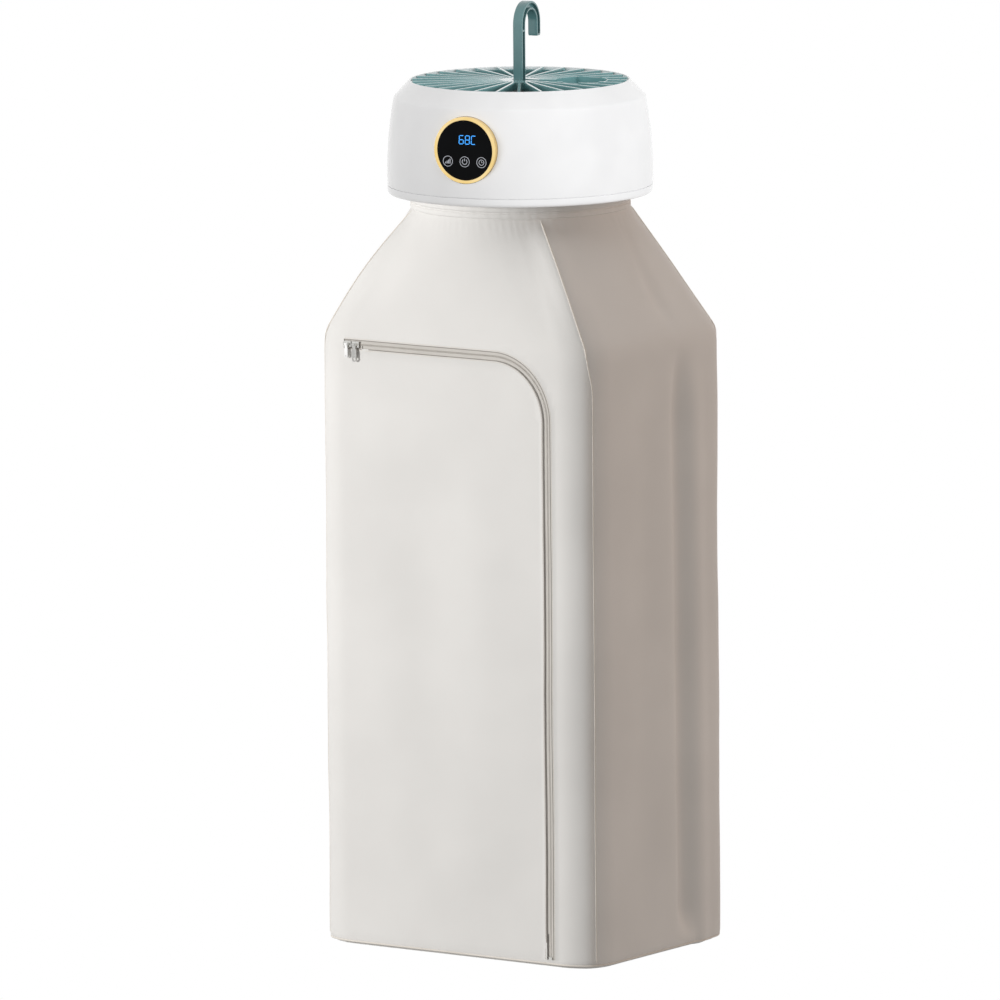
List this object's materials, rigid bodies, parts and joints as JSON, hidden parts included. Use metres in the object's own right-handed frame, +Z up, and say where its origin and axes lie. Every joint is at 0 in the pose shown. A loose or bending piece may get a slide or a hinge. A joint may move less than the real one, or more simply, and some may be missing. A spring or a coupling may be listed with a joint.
{
  "type": "hanging clothes dryer",
  "caption": "Hanging clothes dryer: a round heater and blower head with a folding hook and a display, over a tall fabric drying bag with a zipped corner door.",
  "frame": {"origin": "centre of the rail seat in the hook's crook", "axes": "+Z up along the hanging direction, +X to the right along the bag's width, -Y out of the bag's zipped front"},
  "size_m": [0.472, 0.3792, 1.32],
  "materials": {
    "white_shell": "glossy moulded ABS",
    "teal_plastic": "satin moulded plastic",
    "dark_plastic": "satin moulded plastic",
    "filter_mesh": "fine nylon mesh",
    "steel": "zinc plated steel",
    "screw_steel": "blackened steel",
    "brass_pins": "plain",
    "grey_plastic": "moulded",
    "heater_mica": "mica board",
    "heater_ceramic": "fired ceramic",
    "heater_aluminium": "rolled",
    "circuit_board": "solder mask",
    "display_black": "polished",
    "gold_ring": "champagne gold plating",
    "cable_rubber": "smooth jacket",
    "shoe_rubber": "moulded",
    "bag_fabric": "coated woven polyester",
    "zip_tape_cloth": "woven tape",
    "zip_teeth": "nylon coil",
    "zip_metal": "nickel plating",
    "pull_white": "glossy"
  },
  "bodies": {
    "head": {"upper_housing": "white_shell", "base_shell": "white_shell", "intake_grille": "teal_plastic", "intake_guard": "dark_plastic", "dust_filter": "filter_mesh", "hook_anchor": "steel", "hook_pin": "steel", "fan_shroud": "grey_plastic", "motor_bracket": "steel", "motor": "dark_plastic", "motor_screws": "screw_steel", "heater_frame": "heater_mica", "heater_bars": "heater_ceramic", "heater_fins": "heater_aluminium", "thermostat": "steel", "control_board": "circuit_board", "display_board": "circuit_board", "display_glass": "display_black", "display_bezel": "gold_ring", "outlet_grille": "white_shell", "neck_collar": "white_shell", "neck_screws": "screw_steel", "base_screws": "screw_steel", "mains_inlet": "dark_plastic", "inlet_pins": "brass_pins", "mains_loom": "cable_rubber", "arm_brackets": "white_shell", "arm_pins": "steel", "rod_brackets": "steel", "garment_rod": "steel", "rod_caps": "dark_plastic", "shoulder_wire": "steel", "base_wire": "steel", "bag_collar": "bag_fabric", "bag_shoulders": "bag_fabric", "bag_front": "bag_fabric", "bag_back": "bag_fabric", "bag_left": "bag_fabric", "bag_right": "bag_fabric", "bag_base": "bag_fabric", "zip_tape": "zip_tape_cloth", "zip_coil": "zip_teeth", "zip_stops": "zip_metal", "parked_slider": "zip_metal"},
    "hook": {"hook": "teal_plastic"},
    "fan": {"impeller": "grey_plastic", "motor_shaft": "steel"},
    "door": {"door_flap": "bag_fabric", "door_tape": "zip_tape_cloth"},
    "slider": {"zip_slider": "zip_metal"},
    "slider_pull": {"slider_pull": "zip_metal"},
    "parked_pull": {"parked_pull": "pull_white"},
    "arm_rear_right": {"arm_rear_right": "steel", "shoe_rear_right": "shoe_rubber"},
    "arm_rear_left": {"arm_rear_left": "steel", "shoe_rear_left": "shoe_rubber"},
    "arm_front_left": {"arm_front_left": "steel", "shoe_front_left": "shoe_rubber"},
    "arm_front_right": {"arm_front_right": "steel", "shoe_front_right": "shoe_rubber"}
  },
  "joints": [
    {"name": "hook_fold", "type": "hinge", "parent": "head", "child": "hook", "pos_m": [0.00465, -0.02507, -0.0835], "axis": [-0.1822, 0.9833, 0], "range_deg": [0, 90]},
    {"name": "fan_spin", "type": "hinge", "parent": "head", "child": "fan", "pos_m": [0.00465, -0.02507, -0.1755], "axis": [0, 0, 1], "continuous": true},
    {"name": "door_fold", "type": "hinge", "parent": "head", "child": "door", "pos_m": [-0.14135, -0.20107, -0.4395], "axis": [0.3462, 0, -0.9382], "range_deg": [0, 110]},
    {"name": "slider_run", "type": "slide", "parent": "head", "child": "slider", "axis": [1, 0, 0], "range_m": [0, 0.23]},
    {"name": "slider_pull_swing", "type": "hinge", "parent": "slider", "child": "slider_pull", "pos_m": [-0.15385, -0.20557, -0.4395], "axis": [1, 0, 0], "range_deg": [-120, 0]},
    {"name": "parked_pull_swing", "type": "hinge", "parent": "head", "child": "parked_pull", "pos_m": [-0.16735, -0.20557, -0.4395], "axis": [1, 0, 0], "range_deg": [-120, 0]},
    {"name": "arm_rear_right_fold", "type": "hinge", "parent": "head", "child": "arm_rear_right", "pos_m": [0.1106, 0.05197, -0.2535], "axis": [-0.5881, 0.8088, 0], "range_deg": [0, 35]},
    {"name": "arm_rear_left_fold", "type": "hinge", "parent": "head", "child": "arm_rear_left", "pos_m": [-0.1013, 0.05197, -0.2535], "axis": [-0.5881, -0.8088, 0], "range_deg": [0, 35]},
    {"name": "arm_front_left_fold", "type": "hinge", "parent": "head", "child": "arm_front_left", "pos_m": [-0.1013, -0.10211, -0.2535], "axis": [0.5881, -0.8088, 0], "range_deg": [0, 35]},
    {"name": "arm_front_right_fold", "type": "hinge", "parent": "head", "child": "arm_front_right", "pos_m": [0.1106, -0.10211, -0.2535], "axis": [0.5881, 0.8088, 0], "range_deg": [0, 35]}
  ]
}
